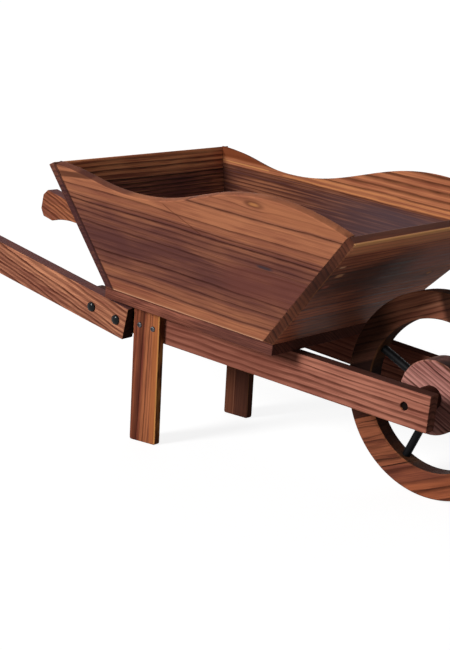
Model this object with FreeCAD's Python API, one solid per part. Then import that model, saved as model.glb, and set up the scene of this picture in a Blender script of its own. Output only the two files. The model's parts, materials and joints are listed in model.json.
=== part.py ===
import FreeCAD, Part
import math
import os

V = FreeCAD.Vector

# Wheelbarrow planter, millimetres and degrees.
# The barrow frame has x forwards from the base plank's rear end, y to the left and z up from the base
# plank's top face, with the rails level. The finished barrow is tipped forwards, to stand on its wheel
# and its legs on the floor at z = 0.

# Trough
base_length = 283.0
base_width = 236.0
base_thickness = 14.0
board_thickness = 12.0
rear_slope = 25.5
front_slope = 40.7
side_flare = 17.35
rear_height = 155.6
front_height = 165.6
dip_height = 140.5
dip_at = 70.0
crest_height = 184.5
crest_at = 300.0
rear_corner_drop = 0.6
front_corner_drop = 2.0
fall_ease = 0.45
rise_ease = 0.42

# Rails
rail_height = 45.0
rail_thickness = 17.0
rail_inset = 27.0
toe_in = 2.4
rail_past_axle = 34.0
rail_past_bolt = 18.0

# Handles
handle_height = 42.6
handle_thickness = 20.0
handle_angle = 8.1
handle_below_base = 3.0
handle_reach = 380.0
handle_overlap = 29.0
knob_length = 29.0
knob_chamfer_along = 8.0
knob_chamfer_across = 10.0
grip_length = 132.0
grip_relief = 16.5

# Legs
leg_width = 44.0
leg_thickness = 10.0
leg_gap = 1.5
leg_lean = 3.6
foot_round = 3.0

# Stance
tip_forward = 5.2

# Wheel
wheel_radius = 125.0
rim_width = 32.5
rim_thickness = 24.0
rim_ease = 1.5
rim_grain = 26.0
rim_upper_joint_angle = 38.0
rim_middle_joint_angle = -4.5
rim_lower_joint_angle = -50.0
wheel_gap = 21.7
hub_radius = 45.0
hub_thickness = 36.0
hub_ease = 1.5
spoke_count = 4
spoke_radius = 5.0
spoke_turn = 68.5
spoke_in_hub = 18.0
spoke_in_rim = 14.0

# Axle
axle_radius = 5.0
axle_below_rail_top = 21.5
axle_recess = 3.0
spacer_radius = 15.0

# Handle bolts and their nuts
bolt_radius = 3.0
bolt_head_radius = 6.5
bolt_head_height = 3.6
bolt_shoulder_radius = 5.4
bolt_shoulder_height = 2.0
bolt_crown_radius = 2.8
bolts_per_handle = 2
bolt_from_end = 17.0
bolt_pitch = 44.5
bolt_end = 1.5
nut_across_flats = 10.0
nut_thickness = 5.0

# Leg screws
leg_screw_radius = 2.0
leg_screw_bite = 13.0
leg_screw_head_radius = 3.6
leg_screw_crown_radius = 2.6
leg_screw_head_height = 1.8
leg_screw_drop = 26.5
leg_screw_pitch = 22.6

# Brads, of flat wire
brad_width = 1.6
brad_thickness = 1.4
brad_length = 30.0
brad_depth = 1.0
brads_per_corner = 2
brads_per_side = 3
brads_per_rail = 3

# Clearances
bolt_clearance = 0.25
nut_clearance = 0.05
spoke_clearance = 0.05
axle_running_clearance = 0.05
spacer_clearance = 0.1
hub_end_clearance = 0.5

# Worked out from the sizes above
rear_tan = math.tan(math.radians(rear_slope))
front_tan = math.tan(math.radians(front_slope))
flare_tan = math.tan(math.radians(side_flare))
flare_cos = math.cos(math.radians(side_flare))
flare_sin = math.sin(math.radians(side_flare))
rear_cos = math.cos(math.radians(rear_slope))
rear_sin = math.sin(math.radians(rear_slope))
front_cos = math.cos(math.radians(front_slope))
front_sin = math.sin(math.radians(front_slope))
rear_inside = board_thickness / rear_cos
front_inside = base_length - board_thickness / front_cos
rail_top = -base_thickness
rail_bottom = rail_top - rail_height
rail_spread = base_width / 2 - rail_inset
rim_inner_radius = wheel_radius - rim_width
axle_z = rail_top - axle_below_rail_top
axle_at = base_length + (wheel_radius + wheel_gap + axle_z * front_sin) / front_cos
rail_place = FreeCAD.Placement(V(0, -rail_spread, 0), FreeCAD.Rotation(V(0, 0, 1), toe_in))
handle_lower = rail_top - handle_below_base - handle_height / math.cos(math.radians(handle_angle))
handle_place = FreeCAD.Placement(V(0, 0, handle_lower), FreeCAD.Rotation(V(0, 1, 0), handle_angle))
handle_corner = handle_place.multVec(V(handle_overlap, 0, handle_height))
leg_tan = math.tan(math.radians(leg_lean))
leg_at = handle_corner.x + leg_gap + leg_width / 2 + leg_tan * (handle_corner.z - rail_bottom)
leg_screw_length = leg_thickness + leg_screw_bite
past = 2 * (base_length + base_width + crest_height)


def prism(points, direction):
    return Part.Face(Part.makePolygon(points + [points[0]])).extrude(direction)


def rod(radius, start, along, length):
    return Part.makeCylinder(radius, length, start, along)


def lines(points):
    return [Part.makeLine(start, end) for start, end in zip(points, points[1:])]


# The profile is (radius, distance) points along an axis that starts at place
def turned(profile, place, along):
    points = [V(radius, 0, distance) for radius, distance in profile]
    outline = Part.Wire(lines(points + [points[0]]))
    solid = Part.Face(outline).revolve(V(0, 0, 0), V(0, 0, 1), 360)
    solid.Placement = FreeCAD.Placement(place, FreeCAD.Rotation(V(0, 0, 1), along))
    return solid


def mirrored(shape):
    return shape.mirror(V(0, 0, 0), V(0, 1, 0))


def both_sides(shapes):
    return shapes + [mirrored(shape) for shape in shapes]


def drilled(shape, tools):
    return shape.cut(Part.makeCompound(tools))


# Trough: the end boards' inner faces and the side boards' outer faces bound the two trimming prisms


def between_end_boards():
    corners = [
        V(rear_inside, -past, 0),
        V(front_inside, -past, 0),
        V(front_inside + past * front_tan, -past, past),
        V(rear_inside - past * rear_tan, -past, past),
    ]
    return prism(corners, V(0, 2 * past, 0))


def between_side_faces():
    half = base_width / 2
    top = half + past * flare_tan
    corners = [V(-past, -half, 0), V(-past, half, 0), V(-past, top, past), V(-past, -top, past)]
    return prism(corners, V(4 * past, 0, 0))


def base_plank():
    return Part.makeBox(base_length, base_width, base_thickness, V(0, -base_width / 2, -base_thickness))


# The wavy board is drawn flat, leaned out and trimmed. Its heights are level with the middle of its thickness,
# and its wave runs on a little past the end boards' inner faces
def side_board_right():
    def edge_point(x, height):
        return V(x, 0, (height - board_thickness / 2 * flare_sin) / flare_cos)

    def wave(start, end, leave, arrive):
        curve = Part.BezierCurve()
        curve.setPoles([start, start + leave, end - arrive, end])
        return curve.toShape()

    past_top = board_thickness * flare_sin
    rear_x = rear_inside - (rear_height + past_top) * rear_tan
    front_x = front_inside + (front_height + past_top) * front_tan
    rear = edge_point(rear_x, rear_height - rear_corner_drop)
    dip = edge_point(dip_at, dip_height)
    crest = edge_point(crest_at, crest_height)
    front = edge_point(front_x, front_height - front_corner_drop)
    fall = V((dip - rear).x * fall_ease, 0, 0)
    rise = V((crest - dip).x * rise_ease, 0, 0)
    level = V((front - crest).x / 3, 0, 0)
    drop = level + V(0, 0, (front - crest).z * 2 / 3)
    rear_end = rear - V(board_thickness, 0, 0)
    front_end = front + drop
    rear_foot = V(rear_end.x, 0, -board_thickness)
    front_foot = V(front_end.x, 0, -board_thickness)
    waves = [wave(rear, dip, fall, fall), wave(dip, crest, rise, rise), wave(crest, front, level, drop)]
    edges = lines([front, front_end, front_foot, rear_foot, rear_end, rear]) + waves
    board = Part.Face(Part.Wire(edges)).extrude(V(0, board_thickness, 0))
    board.rotate(V(0, 0, 0), V(1, 0, 0), side_flare)
    board.translate(V(0, -base_width / 2, 0))
    return board.common(between_end_boards())


def end_board(profile):
    slab = prism([V(x, -past, z) for x, z in profile], V(0, 2 * past, 0))
    return slab.common(between_side_faces())


def rear_board():
    top = V(rear_inside - rear_height * rear_tan, 0, rear_height)
    outer = (top.x - board_thickness * rear_cos, top.z - board_thickness * rear_sin)
    return end_board([(0, 0), (rear_inside, 0), (top.x, top.z), outer])


def front_board():
    top = V(front_inside + front_height * front_tan, 0, front_height)
    outer = (top.x + board_thickness * front_cos, top.z - board_thickness * front_sin)
    return end_board([(base_length, 0), (front_inside, 0), (top.x, top.z), outer])


# Right-hand running gear: x forwards along the rail's outer face, y inwards, z up


def on_right_rail(shape):
    shape.Placement = rail_place.multiply(shape.Placement)
    return shape


# Where each handle bolt crosses the joint between handle and rail, the rearmost last
def bolt_points():
    first = handle_overlap - bolt_from_end
    middle = handle_height / 2
    return [handle_place.multVec(V(first - n * bolt_pitch, 0, middle)) for n in range(bolts_per_handle)]


def rail_right():
    rear = bolt_points()[-1].x - rail_past_bolt
    length = axle_at + rail_past_axle - rear
    return on_right_rail(Part.makeBox(length, rail_thickness, rail_height, V(rear, 0, rail_bottom)))


# Drawn in the handle's own axes: x forwards, z up from its lower edge
def handle_right():
    end = -handle_reach
    knob = end + knob_length
    grip_middle = knob + grip_length / 2
    along = knob_chamfer_along
    across = knob_chamfer_across
    face = -handle_thickness

    def at(x, z):
        return V(x, face, z)

    corners = [
        at(knob, 0),
        at(end + along, 0),
        at(end, across),
        at(end, handle_height - across),
        at(end + along, handle_height),
        at(handle_overlap, handle_height),
        at(handle_overlap, 0),
        at(knob + grip_length, 0),
    ]
    relief = Part.Arc(corners[-1], at(grip_middle, grip_relief), corners[0]).toShape()
    shape = Part.Face(Part.Wire([Part.makePolygon(corners), relief])).extrude(V(0, handle_thickness, 0))
    shape.Placement = handle_place
    return on_right_rail(shape)


def handle_bolt(point):
    length = handle_thickness + rail_thickness + nut_thickness + bolt_end
    shank = [(0, -length), (bolt_radius, -length), (bolt_radius, 0)]
    shoulder = (bolt_shoulder_radius, bolt_shoulder_height)
    head = [(bolt_head_radius, 0), shoulder, (bolt_crown_radius, bolt_head_height), (0, bolt_head_height)]
    return on_right_rail(turned(shank + head, point - V(0, handle_thickness, 0), V(0, -1, 0)))


def bolt_hole(point):
    depth = handle_thickness + rail_thickness
    hole = rod(bolt_radius + bolt_clearance, point - V(0, handle_thickness, 0), V(0, 1, 0), depth)
    return on_right_rail(hole)


def bolt_nut(point):
    start = point + V(0, rail_thickness, 0)
    reach = nut_across_flats / 2 / math.cos(math.radians(30))
    corners = []
    for n in range(6):
        turn = math.radians(60 * n)
        corners.append(start + V(reach * math.cos(turn), 0, reach * math.sin(turn)))
    block = prism(corners, V(0, nut_thickness, 0))
    return on_right_rail(block.cut(rod(bolt_radius + nut_clearance, start, V(0, 1, 0), nut_thickness)))


# Drawn longer than the leg, which the floor trims
def leg_right():
    bottom = rail_bottom - past
    half = leg_width / 2

    def at(offset, z):
        return V(leg_at + offset + leg_tan * (rail_bottom - z), -leg_thickness, z)

    corners = [at(-half, rail_top), at(half, rail_top), at(half, bottom), at(-half, bottom)]
    return on_right_rail(prism(corners, V(0, leg_thickness, 0)))


def leg_screw_points():
    z = rail_top - leg_screw_drop
    middle = leg_at + leg_tan * (rail_bottom - z)
    return [V(middle + side * leg_screw_pitch / 2, -leg_thickness, z) for side in (-1, 1)]


def leg_screw(point):
    shank = [(0, -leg_screw_length), (leg_screw_radius, -leg_screw_length), (leg_screw_radius, 0)]
    crown = (leg_screw_crown_radius, leg_screw_head_height)
    head = [(leg_screw_head_radius, 0), crown, (0, leg_screw_head_height)]
    return on_right_rail(turned(shank + head, point, V(0, -1, 0)))


# Brads, punched below the surface


def brad(start, along):
    corner = V(-brad_width / 2, -brad_thickness / 2, 0)
    wire = Part.makeBox(brad_width, brad_thickness, brad_length, corner)
    wire.Placement = FreeCAD.Placement(start, FreeCAD.Rotation(V(0, 0, 1), along))
    return wire


# Through each end board, along the middle of the side board's thickness
def corner_brads_right():
    side_out = V(0, -flare_cos, -flare_sin)
    ends = [
        (rear_inside, -rear_tan, V(rear_cos, 0, rear_sin), rear_height),
        (front_inside, front_tan, V(-front_cos, 0, front_sin), front_height),
    ]
    brads = []
    for inside, slope, inward, height in ends:
        along = inward - side_out * inward.dot(side_out)
        along.normalize()
        through = board_thickness / along.dot(inward)
        for n in range(brads_per_corner):
            z = height * (n + 0.5) / brads_per_corner
            y = -base_width / 2 - z * flare_tan + board_thickness / 2 / flare_cos
            start = V(inside + z * slope, y, z) - along * (through - brad_depth)
            brads.append(brad(start, along))
    return brads


# Up through the base plank, along the middle of the side board's thickness
def base_brads_right():
    up = V(0, -flare_sin, flare_cos)
    y = -base_width / 2 + board_thickness / 2 / flare_cos
    deep = (base_thickness - brad_depth) / flare_cos
    brads = []
    for n in range(brads_per_side):
        x = rear_inside + (front_inside - rear_inside) * (n + 0.5) / brads_per_side
        brads.append(brad(V(x, y, 0) - up * deep, up))
    return brads


# Down through the base plank, along the middle of the rail's thickness
def rail_brads_right():
    brads = []
    for n in range(brads_per_rail):
        x = base_length * (n + 0.5) / brads_per_rail
        brads.append(on_right_rail(brad(V(x, rail_thickness / 2, -brad_depth), V(0, 0, -1))))
    return brads


# Wheel: axis along y through its own centre


def spoke_turns():
    return [math.radians(spoke_turn + 360 * n / spoke_count) for n in range(spoke_count)]


def spoke(turn, clearance=0.0):
    out = V(math.cos(turn), 0, math.sin(turn))
    start = hub_radius - spoke_in_hub - clearance
    end = rim_inner_radius + spoke_in_rim + clearance
    return rod(spoke_radius + clearance, out * start, out, end - start)


def eased_disc(inner, outer, thickness, ease):
    half = thickness / 2
    flat = half - ease
    edge = outer - ease
    profile = [(inner, -half), (edge, -half), (outer, -flat), (outer, flat), (edge, half), (inner, half)]
    return turned(profile, V(0, 0, 0), V(0, 1, 0))


def wheel_hub(spoke_holes):
    bore = axle_radius + axle_running_clearance
    return drilled(eased_disc(bore, hub_radius, hub_thickness, hub_ease), spoke_holes)


# The ring as it comes out of an edge-glued panel: each board leaves one arc, or one piece on either side.
# A joint's angle is where it crosses the rim's inner edge, measured from the grain
def rim_boards(spoke_holes):
    ring = eased_disc(rim_inner_radius, wheel_radius, rim_thickness, rim_ease)
    flare = Part.makeCone(rim_inner_radius, rim_inner_radius + rim_ease, rim_ease, V(0, 0, 0), V(0, 1, 0))
    flare.translate(V(0, rim_thickness / 2 - rim_ease, 0))
    ring = drilled(ring, spoke_holes + [flare, flare.mirror(V(0, 0, 0), V(0, 1, 0))])
    crossings = (rim_upper_joint_angle, rim_middle_joint_angle, rim_lower_joint_angle)
    joints = [rim_inner_radius * math.sin(math.radians(angle)) for angle in crossings]
    edges = [past] + joints + [-past]
    pieces = []
    for upper, lower in zip(edges, edges[1:]):
        strip = Part.makeBox(2 * past, rim_thickness, upper - lower, V(-past, -rim_thickness / 2, lower))
        strip.rotate(V(0, 0, 0), V(0, 1, 0), -rim_grain)
        pieces.extend(sorted(ring.common(strip).Solids, key=lambda piece: piece.CenterOfMass.x))
    return pieces


# Axle and spacers, in the barrow frame


def axle_line(clearance=0.0):
    return rod(axle_radius + clearance, V(axle_at, -past, axle_z), V(0, 1, 0), 2 * past)


# The right half of the space between the rails' outer faces, moved inwards by a setback
def inside_rail_faces(setback):
    rear, front = [rail_place.multVec(V(end, setback, -past)) for end in (-past, past)]
    corners = [rear, front, V(front.x, 0, -past), V(rear.x, 0, -past)]
    return prism(corners, V(0, 0, 2 * past))


def axle():
    half = axle_line().common(inside_rail_faces(axle_recess))
    return half.fuse(mirrored(half)).removeSplitter()


def spacer_right():
    inner_end = -hub_thickness / 2 - hub_end_clearance
    long_spacer = rod(spacer_radius, V(axle_at, inner_end, axle_z), V(0, -1, 0), past)
    tube = long_spacer.cut(axle_line(spacer_clearance))
    return tube.common(inside_rail_faces(rail_thickness))


# Assembly

nodes = {}

right_leg_screws = [leg_screw(point) for point in leg_screw_points()]
right_holes = [bolt_hole(point) for point in bolt_points()]
corner_brads = both_sides(corner_brads_right())
base_brads = both_sides(base_brads_right())
rail_brads = both_sides(rail_brads_right())

nodes["base_plank"] = drilled(base_plank(), base_brads + rail_brads)
side = drilled(side_board_right(), corner_brads + base_brads)
nodes["side_board_right"] = side
nodes["side_board_left"] = mirrored(side)
nodes["rear_board"] = drilled(rear_board(), corner_brads)
nodes["front_board"] = drilled(front_board(), corner_brads)

rail = drilled(rail_right(), right_holes + right_leg_screws + rail_brads + [axle_line()])
handle = drilled(handle_right(), right_holes)
leg = drilled(leg_right(), right_leg_screws)
for name, shape in (("rail", rail), ("handle", handle), ("leg", leg), ("axle_spacer", spacer_right())):
    nodes[name + "_right"] = shape
    nodes[name + "_left"] = mirrored(shape)

nodes["axle"] = axle()
for name, make in (("handle_bolts", handle_bolt), ("handle_bolt_nuts", bolt_nut)):
    nodes[name] = Part.makeCompound(both_sides([make(point) for point in bolt_points()]))
nodes["leg_screws"] = Part.makeCompound(both_sides(right_leg_screws))
nodes["brads"] = Part.makeCompound(corner_brads + base_brads + rail_brads)

holes = [spoke(turn, spoke_clearance) for turn in spoke_turns()]
wheel = {"wheel_hub": wheel_hub(holes)}
for number, turn in enumerate(spoke_turns(), 1):
    wheel["spoke_%d" % number] = spoke(turn)
rim_names = ["top", "upper_rear", "upper_front", "lower_rear", "lower_front", "bottom"]
for name, shape in zip(rim_names, rim_boards(holes)):
    wheel["rim_" + name] = shape
for name, shape in wheel.items():
    shape.translate(V(axle_at, 0, axle_z))
    nodes[name] = shape

# Stance: tip forwards about the axle, stand on the floor, trim the legs there and centre the length on x = 0

for shape in nodes.values():
    shape.rotate(V(axle_at, 0, axle_z), V(0, 1, 0), tip_forward)
    shape.translate(V(0, 0, wheel_radius - axle_z))

room_above_floor = Part.makeBox(4 * past, 4 * past, 4 * past, V(-2 * past, -2 * past, 0))
for name in ("leg_right", "leg_left"):
    leg = nodes[name].common(room_above_floor)
    feet = [
        edge
        for edge in leg.Edges
        if max(vertex.Z for vertex in edge.Vertexes) < foot_round / 2
        and abs(edge.tangentAt(edge.FirstParameter).y) > 0.9
    ]
    nodes[name] = leg.makeFillet(foot_round, feet)

rear_end = min(shape.optimalBoundingBox().XMin for shape in nodes.values())
front_end = max(shape.optimalBoundingBox().XMax for shape in nodes.values())
os.makedirs("parts", exist_ok=True)
for name, shape in nodes.items():
    shape.translate(V(-(rear_end + front_end) / 2, 0, 0))
    shape.exportStep("parts/%s.step" % name)
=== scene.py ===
import json
import math
import random

import bmesh
import bpy
from mathutils import Matrix, Vector


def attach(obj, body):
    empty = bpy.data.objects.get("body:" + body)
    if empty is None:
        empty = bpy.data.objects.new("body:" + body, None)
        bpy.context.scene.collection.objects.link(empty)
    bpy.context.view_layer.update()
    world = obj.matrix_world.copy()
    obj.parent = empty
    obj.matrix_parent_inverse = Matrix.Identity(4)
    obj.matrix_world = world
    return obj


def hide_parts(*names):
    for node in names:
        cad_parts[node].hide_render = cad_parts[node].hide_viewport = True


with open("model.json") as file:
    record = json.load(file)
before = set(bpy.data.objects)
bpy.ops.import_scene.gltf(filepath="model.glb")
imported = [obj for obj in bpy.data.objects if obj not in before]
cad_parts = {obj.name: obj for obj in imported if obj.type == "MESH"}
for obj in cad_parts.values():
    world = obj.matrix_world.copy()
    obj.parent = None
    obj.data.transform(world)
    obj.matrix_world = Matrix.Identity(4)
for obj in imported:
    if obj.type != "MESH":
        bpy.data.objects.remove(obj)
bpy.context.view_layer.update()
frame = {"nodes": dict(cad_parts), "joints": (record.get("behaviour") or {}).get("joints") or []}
nodes = frame["nodes"]
scene = bpy.context.scene
scene.view_settings.view_transform = "Standard"
print("frame loaded,", len(nodes), "nodes")

# barrow axes in mm: x forwards from the base plank's rear end, y left, z up from the plank's top face
mmPerMetre = 1000.0
stance = {"tip": 5.2, "axle": (445.97, 0.0, -35.5)}
up = Vector((0.0, 0.0, 1.0))
toWorld = (
    Matrix.Translation(frame["joints"][0]["pos_m"])
    @ Matrix.Rotation(math.radians(stance["tip"]), 4, "Y")
    @ Matrix.Scale(1 / mmPerMetre, 4)
    @ Matrix.Translation(-Vector(stance["axle"]))
)


# a board's own axes: u along its grain, v across its face, w out of the face
def boardFrame(origin, grainWay, across):
    u = Vector(grainWay).normalized()
    w = u.cross(Vector(across)).normalized()
    axes = Matrix((u, w.cross(u), w)).transposed().to_4x4()
    axes.translation = Vector(origin)
    return toWorld @ axes


def slope(degrees):
    return math.sin(math.radians(degrees)), math.cos(math.radians(degrees))


trough = {"halfWidth": 118.0, "length": 283.0, "board": 12.0, "flare": 17.35, "rear": 25.5, "front": 40.7}
gear = {"spread": 91.0, "toe": 2.4, "handleAngle": 8.1, "handleLower": -60.03, "handleThick": 20.0,
        "legAt": 60.54, "legThick": 10.0, "legLean": 3.6, "railBottom": -59.0}


# side is -1 for the right-hand rail and 1 for the left-hand one
def onRail(side, x, outwards, z):
    sine, cosine = slope(gear["toe"])
    along = Vector((cosine, -side * sine, 0.0))
    inwards = Vector((-sine, -side * cosine, 0.0))
    return Vector((0.0, side * gear["spread"], 0.0)) + along * x - inwards * outwards + up * z


def railAlong(side):
    return onRail(side, 1.0, 0.0, 0.0) - onRail(side, 0.0, 0.0, 0.0)


def handleFrame(side):
    sine, cosine = slope(gear["handleAngle"])
    along = railAlong(side)
    origin = onRail(side, 0.0, gear["handleThick"], gear["handleLower"])
    return boardFrame(origin, along * cosine - up * sine, along * sine + up * cosine)


def legFrame(side):
    sine, cosine = slope(gear["legLean"])
    along = railAlong(side)
    origin = onRail(side, gear["legAt"], gear["legThick"], gear["railBottom"])
    return boardFrame(origin, along * sine - up * cosine, along * cosine + up * sine)


def wheelFrame(grainAngle, face):
    sine, cosine = slope(grainAngle)
    origin = Vector(stance["axle"]) - Vector((0.0, face, 0.0))
    return boardFrame(origin, (cosine, 0.0, sine), (-sine, 0.0, cosine))


# sRGB hex to linear
def linear(colour):
    channels = [int(colour[place:place + 2], 16) / 255 for place in (1, 3, 5)]
    return [c / 12.92 if c <= 0.04045 else ((c + 0.055) / 1.055) ** 2.4 for c in channels] + [1.0]


# inputs are a dictionary of sockets, or a list that fills the sockets in order;
# a range node's list is its value, the span it reads and the span it gives
def addNode(tree, kind, inputs=(), pick=0, **settings):
    node = tree.nodes.new(kind)
    for name, value in settings.items():
        setattr(node, name, value)
    pairs = inputs.items() if isinstance(inputs, dict) else enumerate(inputs)
    for socket, value in pairs:
        if isinstance(value, bpy.types.NodeSocket):
            tree.links.new(value, node.inputs[socket])
        else:
            node.inputs[socket].default_value = value
    return node.outputs[pick] if len(node.outputs) else None


def newMaterial(name):
    material = bpy.data.materials.new(name)
    material.use_nodes = True
    material.node_tree.nodes.clear()
    return material, material.node_tree


# late-wood lines at uneven distances in mm, each with its own strength
def ringLines(start, stop, spacing, unevenness, seed):
    draw = random.Random(seed)
    lines = [(start, grain["firstForce"])]
    while lines[-1][0] < stop:
        step = spacing * (1 + unevenness * draw.uniform(-1, 1))
        lines.append((lines[-1][0] + step, draw.uniform(*grain["force"])))
    return lines


# one mark on a board: its reach along (u), across (v) and through it (w) in mm, its tone and strength;
# it blurs over soft across the grain and over fade along it, and tilt lets it climb across the grain
def mark(u, v, colour, share, soft=1.5, tilt=0.0, w=(-100.0, 100.0), fade=None):
    return {"u": u, "v": v, "w": w, "colour": colour, "share": share, "soft": soft, "tilt": tilt,
            "fade": grain["fade"] * soft if fade is None else fade}


# points of a float curve, read from pairs of mm and value
def setCurve(socket, pairs, low, high, top):
    mapping = socket.node.mapping
    curve = mapping.curves[0]
    inside = sorted((min(max((at - low) / (high - low), 0.0), 1.0), value / top) for at, value in pairs)
    curve.points[0].location = inside[0]
    curve.points[1].location = inside[-1]
    for place in inside[1:-1]:
        curve.points.new(*place)
    for point in curve.points:
        point.handle_type = "VECTOR"
    mapping.extend = "HORIZONTAL"
    mapping.update()


# fir, scorched with a flame and wire-brushed: pale early wood turns red-brown and the hard late wood
# stays as dark raised lines along each board, with arcs of the same rings on its ends
firLook = {
    "light": "#b0673c", "middle": "#83462f", "line": "#38180f", "scorch": "#59302a", "end": "#24120e",
    # top is the tone put on upward faces as painted shade
    "worn": "#c4824f", "heart": "#c4824f", "top": "#4a281f",
    "wave": (2.2, 170.0, 38.0), "wobble": 0.5, "drift": 0.0, "lean": 0.35, "bow": 0.012,  # run of the rings
    "lineWidth": 0.30, "core": 0.96, "fine": 0.42, "fibre": (48.0, 0.9),
    "scorchAt": ((0, 0.0), (200, 0.0)), "wear": 0.8, "endShare": 0.7, "paintedTopShadeShare": 0.3,
    "knots": (), "marks": (), "turned": False,
    "ior": 1.45, "sheen": 0.05, "rough": (0.78, 0.66), "relief": 0.3,  # relief in mm
}
# the same on every board: sizes in mm, and spans of noise, ring or facing with what they become
grain = {
    "wobble": (30.0, 7.0), "blotch": (90.0, 22.0), "swing": (0.25, 0.75), "seedStep": 3.7, "ringTone": 0.35,
    "firstForce": 0.5, "force": (0.3, 1.0), "lead": 0.15, "release": (0.0, 0.09, 0.8, 0.0),
    "alongLine": (0.3, 0.65, 0.72, 1.0),
    "fibreSpan": (0.3, 0.7), "blotchTone": (0.3, 0.7, 0.05, 0.75),
    "patch": (0.35, 0.65, 0.8, 1.1), "patchFibre": 0.6, "markDepth": 0.5, "fade": 6,
    "paintedTopShadeSpan": (0.72, 0.92), "endSpan": (0.6, 0.85), "edgeSpan": (0.74, 0.88), "rubbedSpan": (0.3, 0.55),
    "fibreRelief": 0.5, "brushing": 0.5,
}
# spans are distances from the knot's middle, as shares of its size
knot = {"ragged": 0.9, "hold": (0.45, 3.6, 0.8, 0.0), "rim": (1.1, 1.9, 0.5, 0.0),
        "heart": (0.6, 1.15, 0.8, 0.0)}


def scorchedFir(name, board):
    look = {**firLook, **board}
    material, tree = newMaterial(name)
    turn = look["frame"].to_3x3().normalized().to_euler()[:]
    seed = look["seed"]
    lines = look["lines"]
    low = lines[0][0]
    high = lines[-1][0]

    coords = addNode(tree, "ShaderNodeTexCoord", pick="Object")
    local = addNode(tree, "ShaderNodeMapping", {"Vector": coords, "Location": look["frame"].translation[:],
                    "Rotation": turn, "Scale": [1 / mmPerMetre] * 3}, vector_type="TEXTURE")
    u, v, w = addNode(tree, "ShaderNodeSeparateXYZ", [local]).node.outputs

    # noise, drawn out along the grain: long slow waves and short wobbles in the rings, fibres at about 1 mm,
    # coarser than real ones, so that they show, and blotches;
    # each has its length and width in mm, a shift of the seed, detail and roughness
    waveHeight, *waveSize = look["wave"]
    noise = {}
    for pattern, (length, width), shift, detail, roughness in (
            ("wave", waveSize, 0, 1.5, 0.5), ("wobble", grain["wobble"], 7, 2.0, 0.5),
            ("fibre", look["fibre"], 3, 3.0, 0.6), ("blotch", grain["blotch"], 11, 2.0, 0.5)):
        drawn = addNode(tree, "ShaderNodeVectorMath", [local, (1 / length, 1 / width, 1 / width)],
                        operation="MULTIPLY")
        sockets = {"Vector": drawn, "W": seed + shift, "Scale": 1.0, "Detail": detail, "Roughness": roughness}
        noise[pattern] = addNode(tree, "ShaderNodeTexNoise", sockets, noise_dimensions="4D")
    longWave = addNode(tree, "ShaderNodeMapRange",
                       [noise["wave"], *grain["swing"], -waveHeight, waveHeight], clamp=False)
    shortWave = addNode(tree, "ShaderNodeMapRange",
                        [noise["wobble"], *grain["swing"], -look["wobble"], look["wobble"]], clamp=False)

    # knots push the rings aside
    across = v
    knotReach = []
    for knotU, knotV, knotLong, knotWide in look["knots"]:
        offset = addNode(tree, "ShaderNodeVectorMath", [local, (knotU, knotV, 0.0)], operation="SUBTRACT")
        scaled = addNode(tree, "ShaderNodeVectorMath", [offset, (1 / knotLong, 1 / knotWide, 0.0)],
                         operation="MULTIPLY")
        distance = addNode(tree, "ShaderNodeVectorMath", [scaled], pick="Value", operation="LENGTH")
        distance = addNode(tree, "ShaderNodeMath", [noise["wobble"], knot["ragged"], distance],
                           operation="MULTIPLY_ADD")
        knotReach.append(distance)
        hold = addNode(tree, "ShaderNodeMapRange", [distance, *knot["hold"]],
                       interpolation_type="SMOOTHSTEP")
        aside = addNode(tree, "ShaderNodeMath", [across, knotV], operation="SUBTRACT")
        pull = addNode(tree, "ShaderNodeMath", [aside, hold], operation="MULTIPLY")
        across = addNode(tree, "ShaderNodeMath", [across, pull], operation="SUBTRACT")

    # the ring that each point lies in
    depth = addNode(tree, "ShaderNodeMath", [w, w], operation="MULTIPLY")
    for axis, bend in ((u, look["drift"]), (w, look["lean"]), (depth, look["bow"])):
        across = addNode(tree, "ShaderNodeMath", [axis, bend, across], operation="MULTIPLY_ADD")
    across = addNode(tree, "ShaderNodeMath", [across, longWave], operation="ADD")
    smooth = addNode(tree, "ShaderNodeMapRange", [across, low, high])
    across = addNode(tree, "ShaderNodeMath", [across, shortWave], operation="ADD")
    spread = addNode(tree, "ShaderNodeMapRange", [across, low, high])
    count = len(lines) - 1
    rings = addNode(tree, "ShaderNodeFloatCurve", {"Value": spread})
    setCurve(rings, [(at, number) for number, (at, force) in enumerate(lines)], low, high, count)
    ring = addNode(tree, "ShaderNodeMath", [rings, float(count)], operation="MULTIPLY")
    ringShare = addNode(tree, "ShaderNodeMath", [ring], operation="FRACT")
    ringNumber = addNode(tree, "ShaderNodeMath", [ring], operation="FLOOR")
    ringSeed = addNode(tree, "ShaderNodeMath", [ringNumber, seed * grain["seedStep"]], operation="ADD")
    ringDraw = addNode(tree, "ShaderNodeTexWhiteNoise", {"W": ringSeed}, noise_dimensions="1D")

    # each ring darkens towards its late wood and ends sharply
    lateStart = 1.0 - look["lineWidth"] - grain["lead"]
    rise = addNode(tree, "ShaderNodeMapRange", [ringShare, lateStart, look["core"]],
                   interpolation_type="SMOOTHSTEP")
    release = addNode(tree, "ShaderNodeMapRange", [ringShare, *grain["release"]],
                      interpolation_type="SMOOTHSTEP")
    lateWood = addNode(tree, "ShaderNodeMath", [rise, release], operation="MAXIMUM")
    lineForce = addNode(tree, "ShaderNodeFloatCurve", {"Value": spread})
    setCurve(lineForce, lines, low, high, 1.0)
    alongLine = addNode(tree, "ShaderNodeMapRange", [noise["wobble"], *grain["alongLine"]])
    for force in (lineForce, alongLine):
        lateWood = addNode(tree, "ShaderNodeMath", [lateWood, force], operation="MULTIPLY")

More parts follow.
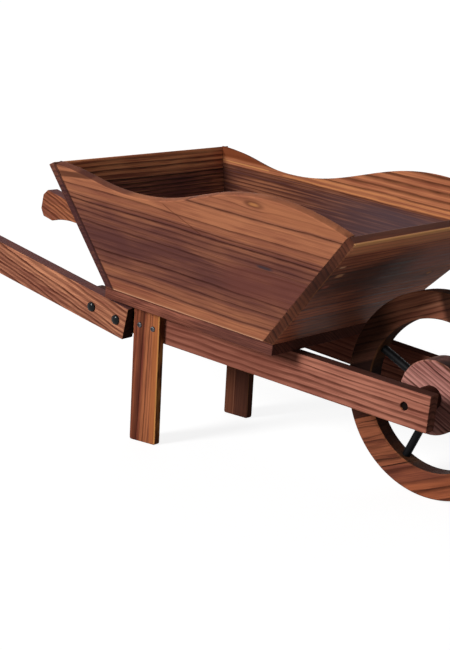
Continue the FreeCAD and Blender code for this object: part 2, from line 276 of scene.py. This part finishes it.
    # early wood between its light and middle tones, then zones that the flame took further
    fibreTone = addNode(tree, "ShaderNodeMapRange",
                        [noise["fibre"], *grain["fibreSpan"], -look["fine"], look["fine"]])
    ringTone = addNode(tree, "ShaderNodeMath", [ringDraw, grain["ringTone"], -grain["ringTone"] / 2],
                       operation="MULTIPLY_ADD")
    tone = addNode(tree, "ShaderNodeMapRange", [noise["blotch"], *grain["blotchTone"]])
    tone = addNode(tree, "ShaderNodeMath", [tone, ringTone], operation="ADD")
    tone = addNode(tree, "ShaderNodeMath", [tone, fibreTone], operation="ADD", use_clamp=True)
    zones = addNode(tree, "ShaderNodeFloatCurve", {"Value": smooth})
    setCurve(zones, look["scorchAt"], low, high, 1.0)
    patch = addNode(tree, "ShaderNodeMapRange", [noise["blotch"], *grain["patch"]])
    patch = addNode(tree, "ShaderNodeMath", [fibreTone, grain["patchFibre"], patch],
                    operation="MULTIPLY_ADD")
    zone = addNode(tree, "ShaderNodeMath", [zones, patch], operation="MULTIPLY", use_clamp=True)
    layers = [(tone, look["middle"]), (zone, look["scorch"]), (lateWood, look["line"])]

    for distance in knotReach:
        for part, tint in (("rim", look["line"]), ("heart", look["heart"])):
            share = addNode(tree, "ShaderNodeMapRange", [distance, *knot[part]],
                            interpolation_type="SMOOTHSTEP")
            layers.append((share, tint))

    # single marks: pale chips, burnt streaks, a scratch, and painted shade and highlights
    for spot in look["marks"]:
        (fromU, toU), (fromV, toV), (fromW, toW) = spot["u"], spot["v"], spot["w"]
        tilted = addNode(tree, "ShaderNodeMath", [u, fromU], operation="SUBTRACT")
        tilted = addNode(tree, "ShaderNodeMath", [tilted, -spot["tilt"], v], operation="MULTIPLY_ADD")
        tilted = addNode(tree, "ShaderNodeMath", [tilted, shortWave], operation="ADD")
        share = spot["share"]
        for axis, start, stop, blur in ((u, fromU, toU, spot["fade"]), (tilted, fromV, toV, spot["soft"]),
                                        (w, fromW, toW, grain["markDepth"])):
            for span in ((start - blur, start, 0.0, 1.0), (stop, stop + blur, 1.0, 0.0)):
                inside = addNode(tree, "ShaderNodeMapRange", [axis, *span], interpolation_type="SMOOTHSTEP")
                share = addNode(tree, "ShaderNodeMath", [share, inside], operation="MULTIPLY")
        layers.append((share, spot["colour"]))

    # by the way a face points: upward faces get painted shade, ends took more of the flame, and edges are
    # rubbed pale
    normal = addNode(tree, "ShaderNodeNewGeometry", pick="True Normal")
    normal = addNode(tree, "ShaderNodeVectorTransform", [normal], vector_type="NORMAL",
                     convert_from="WORLD", convert_to="OBJECT")
    skyward = addNode(tree, "ShaderNodeSeparateXYZ", [normal], pick="Z")
    paintedTopShade = addNode(tree, "ShaderNodeMapRange", [skyward, *grain["paintedTopShadeSpan"], 0.0, look["paintedTopShadeShare"]])
    facing = addNode(tree, "ShaderNodeMapping", {"Vector": normal, "Rotation": turn}, vector_type="TEXTURE")
    facing = addNode(tree, "ShaderNodeVectorMath", [facing], operation="ABSOLUTE")
    facingU, facingV, facingW = addNode(tree, "ShaderNodeSeparateXYZ", [facing]).node.outputs
    endwards = facingU
    if look["turned"]:  # the round edge of a wheel piece is end grain too
        endwards = addNode(tree, "ShaderNodeMath", [1.0, facingW], operation="SUBTRACT")
    ends = addNode(tree, "ShaderNodeMapRange", [endwards, *grain["endSpan"], 0.0, look["endShare"]])
    flattest = addNode(tree, "ShaderNodeMath", [facingU, facingV], operation="MAXIMUM")
    flattest = addNode(tree, "ShaderNodeMath", [flattest, facingW], operation="MAXIMUM")
    edges = addNode(tree, "ShaderNodeMapRange", [flattest, *grain["edgeSpan"], look["wear"], 0.0])
    rubbed = addNode(tree, "ShaderNodeMapRange", [noise["blotch"], *grain["rubbedSpan"]])
    edges = addNode(tree, "ShaderNodeMath", [edges, rubbed], operation="MULTIPLY")
    layers += [(paintedTopShade, look["top"]), (ends, look["end"]), (edges, look["worn"])]

    colour = linear(look["light"])
    for share, tint in layers:
        colour = addNode(tree, "ShaderNodeMix", {0: share, 6: colour, 7: linear(tint)}, pick=2,
                         data_type="RGBA")

    height = addNode(tree, "ShaderNodeMath", [noise["fibre"], grain["fibreRelief"], lateWood],
                     operation="MULTIPLY_ADD")
    bump = addNode(tree, "ShaderNodeBump", {"Height": height, "Strength": grain["brushing"],
                   "Distance": look["relief"] / mmPerMetre})
    rough = addNode(tree, "ShaderNodeMapRange", [lateWood, 0.0, 1.0, *look["rough"]])
    shader = addNode(tree, "ShaderNodeBsdfPrincipled", {
        "Base Color": colour, "Roughness": rough, "Normal": bump, "IOR": look["ior"],
        "Specular IOR Level": look["sheen"]})
    addNode(tree, "ShaderNodeOutputMaterial", {"Surface": shader})
    return material


# soft rounding of the sawn edges, which the solids leave sharp: width and weld in mm, angles in degrees
easing = {"width": 1.1, "segments": 2, "sharp": 35.0, "flat": 0.4, "weld": 0.01}


def easeEdges(piece):
    weld = piece.modifiers.new("weld", "WELD")
    weld.merge_threshold = easing["weld"] / mmPerMetre
    flat = piece.modifiers.new("flat", "DECIMATE")
    flat.decimate_type = "DISSOLVE"
    flat.angle_limit = math.radians(easing["flat"])
    bevel = piece.modifiers.new("ease", "BEVEL")
    bevel.width = easing["width"] / mmPerMetre
    bevel.segments = easing["segments"]
    bevel.limit_method = "ANGLE"
    bevel.angle_limit = math.radians(easing["sharp"])
    bevel.use_clamp_overlap = False
    bevel.harden_normals = True


def dress(names, material, eased=False):
    for name in names:
        piece = nodes[name]
        piece.data.materials.clear()
        piece.data.materials.append(material)
        if eased:
            easeEdges(piece)


flareSine, flareCosine = slope(trough["flare"])
rearSine, rearCosine = slope(trough["rear"])
frontSine, frontCosine = slope(trough["front"])
half = trough["halfWidth"]
outerFace = (-1.2, 2.0)  # reach through an end board, for marks on its outer face alone

sideRight = {
    "frame": boardFrame((0, -half, 0), (1, 0, 0), (0, -flareSine, flareCosine)), "seed": 1.0,
    # edges are rubbed paler here, with a painted highlight along the top arris
    "light": "#bb7855", "middle": "#8e523f", "scorch": "#603a36", "worn": "#e8b894", "wear": 1.0,
    "endShare": 0.85, "knots": ((275.0, 181.0, 13.0, 4.4),),
    "lines": [(-20, 0.3), (-4, 0.5), (6, 0.25), (13, 0.3), (20, 0.85), (27, 0.3), (33, 0.35), (40, 0.8),
              (48, 0.4), (57, 1.0), (66, 0.4), (75, 0.3), (84, 0.45), (92, 0.85), (98, 0.35), (105, 0.7),
              (113, 0.6), (121, 1.0), (127, 0.75), (133, 0.2), (140, 0.7), (148, 0.15), (156, 0.25),
              (163, 0.9), (170, 0.2), (176, 0.5), (184, 0.3), (192, 0.5), (201, 0.3), (210, 0.5)],
    "scorchAt": ((-20, 0.0), (14, 0.05), (18, 0.7), (21, 0.7), (24, 0.35), (34, 0.45), (38, 0.85),
                 (42, 0.7), (52, 0.75), (58, 1.0), (86, 0.95), (94, 0.9), (98, 0.7), (104, 0.9),
                 (109, 0.7), (113, 0.85), (117, 0.55), (121, 0.9), (125, 0.45), (128, 0.6), (131, 0.05),
                 (138, 0.3), (142, 0.0), (158, 0.0), (163, 0.45), (166, 0.0), (210, 0.0)),
    "marks": (
        mark((-70, 10), (145, 150), "#47261d", 0.75, soft=2.2, tilt=0.12),  # burnt streak at the rear
        mark((-80, 60), (130, 180), "#5c3430", 0.65, soft=3.0, w=(-11.4, -1.3)),  # top edge there
        mark((-20, 300), (-3, 1.9), "#dba886", 0.55, soft=0.5),  # pale lower edge: worn, with a painted highlight along it
        mark((-80, 20), (198, 209.5), "#2a1512", 0.75, soft=1.2, tilt=-2.196),  # painted shade along the rear joint
        mark((240, 360), (60, 92), "#7c473c", 0.45, soft=8.0),  # redder patch near the front
        mark((300, 400), (168, 190), "#b97550", 0.45, soft=4.0),  # paler top at the front
        mark((276, 288), (101, 103), "#37333a", 0.75),  # grey nick
        mark((130, 184), (146.2, 147.0), "#5a2f20", 0.6, soft=0.8, tilt=-0.456),  # scratch
    ),
}
sideLeft = {
    "frame": boardFrame((0, half, 0), (1, 0, 0), (0, flareSine, flareCosine)), "seed": 2.0,
    "light": "#b97650", "middle": "#92543b", "line": "#45200f", "scorch": "#4a2b27", "endShare": 0.85,
    "wave": (1.6, 170.0, 38.0), "lean": 0.0, "bow": 0.0, "lineWidth": 0.4, "core": 0.88,
    "fibre": (110.0, 1.8), "fine": 0.6,
    "lines": [(-20, 0.4), (8, 0.5), (24, 0.4), (45, 0.5), (62, 0.6), (72, 0.7), (80, 0.6), (88, 0.8),
              (94, 0.6), (99, 0.8), (104, 0.6), (109, 0.85), (114, 0.6), (119, 0.8), (124, 0.6), (129, 0.8),
              (134, 0.7), (139, 0.9), (145, 0.25), (151, 0.85), (160, 0.8), (170, 0.9), (180, 0.85),
              (190, 0.9), (202, 0.6)],
    "scorchAt": ((-20, 0.7), (60, 0.95), (136, 0.9), (141, 0.1), (202, 0.0)),
    "marks": (
        mark((-80, 30), (141.4, 142.6), "#cf9058", 0.6, soft=0.9),  # three pale lines in the grain
        mark((60, 420), (140.6, 141.4), "#c9874f", 0.5, soft=0.8),
        mark((20, 420), (147.0, 147.8), "#c9874f", 0.4, soft=0.8),
        mark((-80, 60), (148, 172), "#6a3219", 0.85, soft=4.0),
        mark((260, 420), (20, 128), "#4f4045", 0.65, soft=12.0, w=(6, 20), fade=190.0),  # inner face greyed and darkened towards the front: a painted grey sheen
    ),
}
rearLook = {
    "frame": boardFrame((trough["board"] / rearCosine, 0, 0), (0, 1, 0), (-rearSine, 0, rearCosine)),
    "seed": 3.0, "light": "#ffab78", "middle": "#ba6647", "line": "#1c0805", "scorch": "#6a3f39",
    "end": "#4a2c2c", "endShare": 0.82, "wave": (1.2, 170.0, 38.0), "wobble": 0.3, "lineWidth": 0.5,
    "core": 0.88, "fibre": (90.0, 1.5), "fine": 0.8, "lines": ringLines(-12, 180, 5.4, 0.35, 3),
    # darker towards the bottom of the inner face
    "scorchAt": ((-12, 1.0), (112, 1.0), (138, 0.85), (150, 0.3), (160, 0.05), (180, 0.0)),
    # painted shade along the joint with the near side board
    "marks": (mark((-170, -110), (170, 215), "#1d0e0d", 0.8, soft=1.0, tilt=-3.546, w=(-2.2, 0.5)),),
}
frontLook = {
    "frame": boardFrame((trough["length"], 0, 0), (0, 1, 0), (frontSine, 0, frontCosine)), "seed": 4.0,
    "light": "#d8835f", "middle": "#9a553f", "line": "#240e09", "scorch": "#452821", "endShare": 0.8,
    "wear": 0.35, "lineWidth": 0.42, "core": 0.88, "sheen": 0.07, "rough": (0.62, 0.5),
    "knots": ((88.0, 105.0, 10.0, 6.0),), "lines": ringLines(-12, 232, 7.5, 0.4, 4),
    "scorchAt": ((-12, 0.2), (60, 0.3), (95, 0.75), (150, 0.85), (176, 0.35), (198, 0.0), (225, 0.0)),
    "marks": (
        mark((-200, 200), (205, 230), "#ffb67c", 1.0, soft=3.0, w=outerFace),  # golden strip at the top: pale wood, brightened as a painted highlight
        mark((-200, 200), (207.6, 215), "#4a261c", 0.7, soft=0.4, w=(-12.0, -3.0)),  # painted shade on the top face
        mark((-200, 200), (206.8, 215), "#ffb878", 0.95, soft=0.4, w=(-2.2, 0.5)),  # painted highlight on its front corner
        mark((-60, 200), (-20, 46), "#2a1611", 0.55, soft=12.0),  # painted shade at the foot
        mark((-200, 200), (190, 200), "#ffab7a", 0.5, soft=5.0, w=outerFace),  # where the strip and its painted highlight fade out
        mark((-110, 0), (108, 146), "#2a1611", 0.6, soft=9.0),  # burnt patch
        mark((40, 140), (125, 175), "#b0766a", 0.4, soft=8.0),  # paler pinkish patch: a painted sheen
        mark((-147, -143), (162, 164.5), "#f2b48c", 0.85, soft=1.0, w=outerFace),  # three chips
        mark((-135, -130), (142, 147), "#d8966c", 0.75, soft=1.2, w=outerFace),
        mark((-139, -135), (121, 126), "#b0624e", 0.6, soft=1.0, w=outerFace),
    ),
}
plankLook = {
    "frame": boardFrame((0, 0, 0), (1, 0, 0), (0, 1, 0)), "seed": 5.0,
    "light": "#a86752", "middle": "#64382f", "end": "#1d0f0c", "endShare": 0.45, "wear": 1.0,
    "wobble": 0.9, "lean": 1.4, "fine": 0.95, "lines": ringLines(-125, 125, 6.0, 0.4, 5),
    "marks": (mark((200, 300), (-130, 130), "#4f302d", 0.5, soft=12.0),),
}
for name, look in (("side_board_right", sideRight), ("side_board_left", sideLeft), ("rear_board", rearLook),
                   ("front_board", frontLook), ("base_plank", plankLook)):
    dress([name], scorchedFir("scorchedFir_" + name, look), eased=True)
print("trough boards dressed")

railLook = {
    # rail tops are painted dark: painted shade
    "light": "#b57560", "middle": "#80493c", "line": "#3d170d", "top": "#2e1a18", "paintedTopShadeShare": 0.85,
    "endShare": 0.55, "wave": (1.6, 110.0, 30.0), "bow": 0.03, "lineWidth": 0.42, "core": 0.86,
    "fine": 0.55,
    "lines": [(-66, 0.4), (-58, 0.65), (-50, 0.85), (-42, 0.7), (-34, 0.8), (-29, 0.2), (-25, 0.85),
              (-18, 0.5), (-12, 0.4)],
    # darker along the stretch under the trough: painted shade of the trough
    "marks": (mark((-40, 240), (-60, -10), "#6a382c", 0.5, soft=14.0),),
}
handleLook = {
    # tops are painted darker with a lilac tint, painted shade with a painted sheen; inner ends near black,
    # end grain with painted shade
    "light": "#d5916c", "middle": "#955744", "line": "#44190f", "scorch": "#6d3d35", "top": "#6a4445",
    "paintedTopShadeShare": 0.85, "end": "#120a08", "endShare": 0.92, "wear": 0.4,
    "wave": (3.4, 120.0, 34.0), "drift": 0.12, "lineWidth": 0.6, "core": 0.74, "fine": 0.8,
    "lines": [(-70, 0.3), (-62, 0.9), (-52, 0.4), (-45, 0.95), (-33, 0.9), (-27, 0.3), (-20, 0.9),
              (-14, 0.35), (-8, 1.0), (-1, 0.5), (5, 0.95), (10, 0.4), (15, 1.0), (25, 0.35), (31, 0.85),
              (36, 0.3), (42, 0.9), (50, 0.5)],
    "scorchAt": ((-70, 0.5), (6, 0.5), (14, 0.1), (30, 0.0), (40, 0.4), (50, 0.4)),
    "marks": (mark((-30, 60), (-5, 42), "#70402f", 0.2, soft=6.0),),
}
legLook = {
    "light": "#aa6642", "middle": "#7c4632", "scorch": "#6b3427", "worn": "#d9984f", "wear": 1.0,
    "wave": (1.2, 120.0, 22.0), "drift": 0.038, "fine": 0.85,
    "lines": [(-30, 0.5), (-23, 0.6), (-17, 0.7), (-12, 0.6), (-5, 1.0), (0, 0.4), (6, 0.8), (10, 0.35),
              (14, 0.55), (18, 0.3), (24, 0.5), (32, 0.4)],
    "scorchAt": ((-30, 0.85), (-10, 0.7), (-7, 1.0), (-3, 1.0), (-1, 0.1), (6, 0.0), (32, 0.0)),
    "marks": (mark((-80, 140), (13, 19), "#ab6436", 0.5, soft=2.5),
              mark((-80, 140), (-7, -3), "#3a1a12", 0.55, soft=2.0, tilt=-0.038),
              mark((-80, 240), (20.2, 21.6), "#d9984f", 0.5, soft=0.8),  # pale front corner
              mark((-80, 240), (22.2, 40), "#2a1510", 0.7, soft=0.4)),  # painted shade on the front-facing side
}
# what differs on the left-hand side
leftLook = {
    "rail": {"sheen": 0.0},
    "handle": {"light": "#bf774d", "middle": "#8c4e37", "line": "#4a2012", "lineWidth": 0.5},
    # the far leg is painted darker all over: painted shade
    "leg": {"light": "#5c3424", "middle": "#44241a", "wear": 0.4, "scorchAt": ((-30, 0.0), (32, 0.0)),
            "marks": (mark((-80, 240), (-30, -10), "#623a2a", 0.6, soft=4.0),
                      mark((-80, 240), (-5.6, -4.8), "#7d523f", 0.5, soft=1.0),
                      mark((-80, 240), (0, 30), "#38221d", 0.5, soft=4.0))},
}
for sideName, side in (("right", -1), ("left", 1)):
    railFrame = boardFrame(onRail(side, 0, 0, 0), railAlong(side), up)
    for name, look, place in (("rail", railLook, railFrame), ("handle", handleLook, handleFrame(side)),
                              ("leg", legLook, legFrame(side))):
        node = name + "_" + sideName
        shown = {**look, "frame": place, "seed": look["lines"][2][0] + 5.0 * side}  # no two boards alike
        if side == 1:
            shown.update(leftLook[name])
        dress([node], scorchedFir("scorchedFir_" + node, shown), eased=True)
print("rails, handles and legs dressed")

# the rim is cut from a glued panel, so each of its boards has its own lines and tones
wheel = {"rimGrain": 26.0, "rimFace": 12.0, "hubGrain": -21.0, "hubFace": 18.0, "reach": 140,
         "glueAt": (57.0, -7.3, -70.9), "glueHalf": 0.4}
rimFrame = wheelFrame(wheel["rimGrain"], wheel["rimFace"])
rimLooks = (
    ("top", ["rim_top"],
     {"lines": ringLines(50, 130, 9.0, 0.4, 11), "light": "#c88566", "middle": "#8c523f"}),
    # the upper boards are painted dark: painted shade from the trough
    ("upper", ["rim_upper_rear", "rim_upper_front"],
     {"lines": ringLines(-12, 60, 8.0, 0.4, 12), "light": "#4c2c22", "middle": "#2f1a15"}),
    ("lower", ["rim_lower_rear", "rim_lower_front"],
     {"lines": ringLines(-75, -3, 7.0, 0.6, 13), "light": "#94563b", "middle": "#552b20", "line": "#22100a",
      "wave": (4.0, 70.0, 18.0)}),
    ("bottom", ["rim_bottom"],
     {"lines": ringLines(-130, -66, 14.0, 0.4, 14), "light": "#a05a3b", "middle": "#703b28",
      "scorch": "#5a302a", "scorchAt": ((-130, 0.0), (-100, 0.0), (-92, 0.7), (-66, 0.7))}),
)
reach = wheel["reach"]
glueHalf = wheel["glueHalf"]
rimMarks = [mark((-reach, reach), (at - glueHalf, at + glueHalf), "#1c0c08", 0.8, soft=0.6)
            for at in wheel["glueAt"]]
rimMarks.append(mark((-reach, -52), (40, reach), "#170c0a", 0.85, soft=7.0))  # painted shadow of the trough on the rear of the rim
# darker towards the front end
rimMarks.append(mark((48, reach), (58, reach), "#241410", 0.85, soft=1.6))
wheelLook = {"turned": True, "wear": 0.1, "paintedTopShadeShare": 0.0}
for name, names, look in rimLooks:
    shown = {**wheelLook, **look, "marks": rimMarks, "frame": rimFrame, "seed": look["lines"][1][0],
             "end": "#160c09", "endShare": 0.8}
    dress(names, scorchedFir("scorchedFir_rim_" + name, shown))
hubLook = {**wheelLook, "frame": wheelFrame(wheel["hubGrain"], wheel["hubFace"]), "seed": 6.0,
           "light": "#c48a7e", "middle": "#84504a", "lineWidth": 0.5, "core": 0.84, "fine": 0.6,
           "lines": ringLines(-50, 50, 5.0, 0.3, 15)}
dress(["wheel_hub"], scorchedFir("scorchedFir_hub", hubLook))
spacerLook = {"frame": boardFrame(stance["axle"], (0, 1, 0), (0, 0, 1)), "seed": 8.0, "light": "#38201a",
              "middle": "#24130f", "wear": 0.0, "lines": ringLines(-20, 20, 4.0, 0.3, 16)}
dress(["axle_spacer_right", "axle_spacer_left"], scorchedFir("scorchedFir_spacers", spacerLook))
print("wheel dressed")


# steel with a faintly mottled surface; mottle is the width of a blotch and relief its depth, both in mm
steel = {"detail": 3.0, "pitting": 0.3}


def mottledSteel(name, look):
    material, tree = newMaterial(name)
    coords = addNode(tree, "ShaderNodeTexCoord", pick="Object")
    mottle = addNode(tree, "ShaderNodeTexNoise", {"Vector": coords, "Scale": mmPerMetre / look["mottle"],
                     "Detail": steel["detail"]})
    colour = addNode(tree, "ShaderNodeMix", {0: mottle, 6: linear(look["dark"]), 7: linear(look["pale"])},
                     pick=2, data_type="RGBA")
    rough = addNode(tree, "ShaderNodeMapRange", [mottle, 0.0, 1.0, *look["rough"]])
    sockets = {"Base Color": colour, "Roughness": rough, **look["shader"]}
    if "relief" in look:
        sockets["Normal"] = addNode(tree, "ShaderNodeBump", {"Height": mottle, "Strength": steel["pitting"],
                                    "Distance": look["relief"] / mmPerMetre})
    shader = addNode(tree, "ShaderNodeBsdfPrincipled", sockets)
    addNode(tree, "ShaderNodeOutputMaterial", {"Surface": shader})
    return material


# mild steel with a black oxide and oil finish: dark satin, with a tight highlight
blackLook = {"dark": "#040405", "pale": "#09090b", "mottle": 2.5, "rough": (0.13, 0.22), "relief": 0.04,
             "shader": {"Specular IOR Level": 0.17}}
spokeLook = {**blackLook, "rough": (0.5, 0.62), "shader": {"Specular IOR Level": 0.1}}  # drawn bar, duller
axlePaintedShadeLook = {**blackLook, "dark": "#060404", "pale": "#160d08", "rough": (0.6, 0.8),
            "shader": {"Specular IOR Level": 0.05}}  # cut end painted near black and matt: painted shade, as if sunk deep in its hole
# zinc-plated steel, dulled outdoors: grey, with a broad soft highlight
zincLook = {"dark": "#3a393a", "pale": "#68676b", "mottle": 1.2, "rough": (0.38, 0.55),
            "shader": {"Metallic": 0.8}}
blackMetal = mottledSteel("blackedSteel", blackLook)
zinc = mottledSteel("zincSteel", zincLook)
dress(["axle"], mottledSteel("blackedAxlePaintedShade", axlePaintedShadeLook))
dress(["spoke_1", "spoke_2", "spoke_3", "spoke_4"], mottledSteel("blackedSpokes", spokeLook))
dress(["handle_bolt_nuts", "handle_bolts"], blackMetal)
dress(["leg_screws", "brads"], zinc)
print("metal dressed")

smoothBelow = 32.0  # faces that meet at less than this many degrees shade as one


# turned solids, one at each place, from a profile of radius, height and the depth of a cross cut there
def turnedPieces(name, profile, places, steps, material, slotHalf=0.0):
    built = bmesh.new()
    for place in places:
        rings = []
        for radius, height, cut in profile:
            ring = []
            for step in range(steps if radius else 1):
                angle = 2 * math.pi * step / steps
                x = radius * math.cos(angle)
                y = radius * math.sin(angle)
                sunk = cut if min(abs(x), abs(y)) < slotHalf else 0.0
                ring.append(built.verts.new(place @ Vector((x, y, height - sunk))))
            rings.append(ring)
        for lower, upper in zip(rings, rings[1:]):
            for step in range(steps):
                after = step + 1
                corners = (lower[step % len(lower)], lower[after % len(lower)], upper[after % len(upper)],
                           upper[step % len(upper)])
                built.faces.new(list(dict.fromkeys(corners)))
    bmesh.ops.recalc_face_normals(built, faces=built.faces)
    mesh = bpy.data.meshes.new(name)
    built.to_mesh(mesh)
    built.free()
    mesh.materials.append(material)
    mesh.shade_smooth()
    mesh.set_sharp_from_angle(angle=math.radians(smoothBelow))
    piece = bpy.data.objects.new(name, mesh)
    scene.collection.objects.link(piece)
    return piece


# axes of a fastener driven into an outer face on either side, heading outwards
def drivenAt(side, point):
    sine, cosine = slope(gear["toe"])
    outwards = Vector((sine, side * cosine, 0.0))
    along = railAlong(side)
    axes = Matrix((along, outwards.cross(along), outwards)).transposed().to_4x4()
    axes.translation = point
    return toWorld @ axes


# round-headed handle bolts: domed heads as on coach bolts
bolt = {"radius": 3.0, "head": 6.5, "height": 3.6, "edge": 0.8, "domeStep": 15, "length": 43.5, "tip": 0.6,
        "at": (12.0, -32.5), "middle": 21.3, "steps": 28}
boltProfile = [(0.0, -bolt["length"], 0.0), (bolt["radius"] - bolt["tip"], -bolt["length"], 0.0),
               (bolt["radius"], bolt["tip"] - bolt["length"], 0.0), (bolt["radius"], 0.0, 0.0),
               (bolt["head"], 0.0, 0.0)]
for degrees in range(0, 90, bolt["domeStep"]):
    sine, cosine = slope(degrees)
    boltProfile.append((bolt["head"] * cosine, bolt["edge"] + (bolt["height"] - bolt["edge"]) * sine, 0.0))
boltProfile.append((0.0, bolt["height"], 0.0))
handleSine, handleCosine = slope(gear["handleAngle"])
boltPlaces = []
for side in (-1, 1):
    for at in bolt["at"]:
        x = at * handleCosine + bolt["middle"] * handleSine
        z = gear["handleLower"] - at * handleSine + bolt["middle"] * handleCosine
        boltPlaces.append(drivenAt(side, onRail(side, x, gear["handleThick"], z)))
bolts = turnedPieces("roundHeadBolts", boltProfile, boltPlaces, bolt["steps"], blackMetal)
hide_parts("handle_bolts")
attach(bolts, "frame")

# pan-head leg screws with a cross recess
screw = {"radius": 2.0, "bite": 23.0, "height": 1.8, "recess": 1.1, "slotHalf": 0.5, "drop": -40.5,
         "pitch": 22.6, "steps": 48, "slotRings": (1.9, 1.2, 0.7),
         "headCurve": ((3.6, 0.0), (3.5, 0.8), (3.1, 1.45), (2.6, 1.7), (2.0, 1.8))}
screwProfile = [(0.0, -screw["bite"], 0.0), (screw["radius"], -screw["bite"], 0.0),
                (screw["radius"], 0.0, 0.0)]
screwProfile += [(radius, height, 0.0) for radius, height in screw["headCurve"]]
screwProfile += [(radius, screw["height"], screw["recess"]) for radius in screw["slotRings"]]
screwProfile.append((0.0, screw["height"] - screw["recess"], 0.0))
legSine, legCosine = slope(gear["legLean"])
legMiddle = gear["legAt"] + legSine / legCosine * (gear["railBottom"] - screw["drop"])
screwPlaces = []
for side in (-1, 1):
    for aside in (-0.5, 0.5):
        point = onRail(side, legMiddle + aside * screw["pitch"], gear["legThick"], screw["drop"])
        screwPlaces.append(drivenAt(side, point))
screws = turnedPieces("crossHeadScrews", screwProfile, screwPlaces, screw["steps"], zinc, screw["slotHalf"])
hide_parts("leg_screws")
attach(screws, "frame")
print("bolts and screws in place")

# stage: pale floor that keeps the shadow, and a white surround for the camera, gloss and glass
stage = {"floorSize": 60.0, "floorTone": "#8e8e8e", "floorGlow": 0.85, "surround": "#ffffff",
         "ambient": 0.17}


def seenDirectly(tree):
    rays = addNode(tree, "ShaderNodeLightPath").node.outputs
    seen = rays["Is Camera Ray"]
    for kind in ("Is Glossy Ray", "Is Transmission Ray"):
        seen = addNode(tree, "ShaderNodeMath", [seen, rays[kind]], operation="MAXIMUM")
    return seen


floorMesh = bpy.data.meshes.new("floor")
size = stage["floorSize"]
floorCorners = [(-size, -size, 0), (size, -size, 0), (size, size, 0), (-size, size, 0)]
floorMesh.from_pydata(floorCorners, [], [(0, 1, 2, 3)])
floor = bpy.data.objects.new("floor", floorMesh)
scene.collection.objects.link(floor)
floorMaterial, floorTree = newMaterial("paleFloor")
glow = addNode(floorTree, "ShaderNodeMath", [seenDirectly(floorTree), stage["floorGlow"]],
               operation="MULTIPLY")
floorShader = addNode(floorTree, "ShaderNodeBsdfDiffuse", {"Color": linear(stage["floorTone"])})
floorLight = addNode(floorTree, "ShaderNodeEmission", {"Strength": glow})
floorMix = addNode(floorTree, "ShaderNodeAddShader", [floorShader, floorLight])
addNode(floorTree, "ShaderNodeOutputMaterial", {"Surface": floorMix})
floorMesh.materials.append(floorMaterial)

world = bpy.data.worlds.new("studio")
scene.world = world
world.use_nodes = True
worldTree = world.node_tree
worldTree.nodes.clear()
seen = seenDirectly(worldTree)
strength = addNode(worldTree, "ShaderNodeMapRange", [seen, 0.0, 1.0, stage["ambient"], 1.0])
surround = addNode(worldTree, "ShaderNodeBackground", {"Color": linear(stage["surround"]),
                   "Strength": strength})
addNode(worldTree, "ShaderNodeOutputWorld", {"Surface": surround})

# a soft key from the near left of the picture, and a broad weak fill from the far left
lamps = {"key": {"azimuth": 16.0, "elevation": 24.0, "spread": 16.0, "strength": 3.1, "distance": 3.0},
         "fill": {"azimuth": 148.0, "elevation": 20.0, "spread": 60.0, "strength": 0.9, "distance": 3.0}}
for name, lamp in lamps.items():
    riseSine, riseCosine = slope(lamp["elevation"])
    turnSine, turnCosine = slope(lamp["azimuth"])
    lightData = bpy.data.lights.new(name, "SUN")
    lightData.angle = math.radians(lamp["spread"])
    lightData.energy = lamp["strength"]
    light = bpy.data.objects.new(name, lightData)
    scene.collection.objects.link(light)
    towards = Vector((-turnSine * riseCosine, -turnCosine * riseCosine, riseSine))
    light.location = towards * lamp["distance"]
    light.rotation_euler = towards.to_track_quat("Z", "Y").to_euler()

# camera at the photograph's viewing angle
view = {"location": (1.32409, -1.51407, 0.60323), "azimuth": 41.0196, "elevation": 12.6941, "roll": 1.8558,
        "lens": 87.0, "sensor": 36.0}
turnSine, turnCosine = slope(view["azimuth"])
riseSine, riseCosine = slope(view["elevation"])
sight = Vector((-turnSine * riseCosine, turnCosine * riseCosine, -riseSine))
cameraData = bpy.data.cameras.new("camera")
cameraData.lens = view["lens"]
cameraData.sensor_width = view["sensor"]
camera = bpy.data.objects.new("camera", cameraData)
scene.collection.objects.link(camera)
camera.location = view["location"]
level = sight.to_track_quat("-Z", "Y").to_matrix()
camera.rotation_euler = (Matrix.Rotation(-math.radians(view["roll"]), 3, sight) @ level).to_euler()
scene.camera = camera
print("stage, light and camera set")
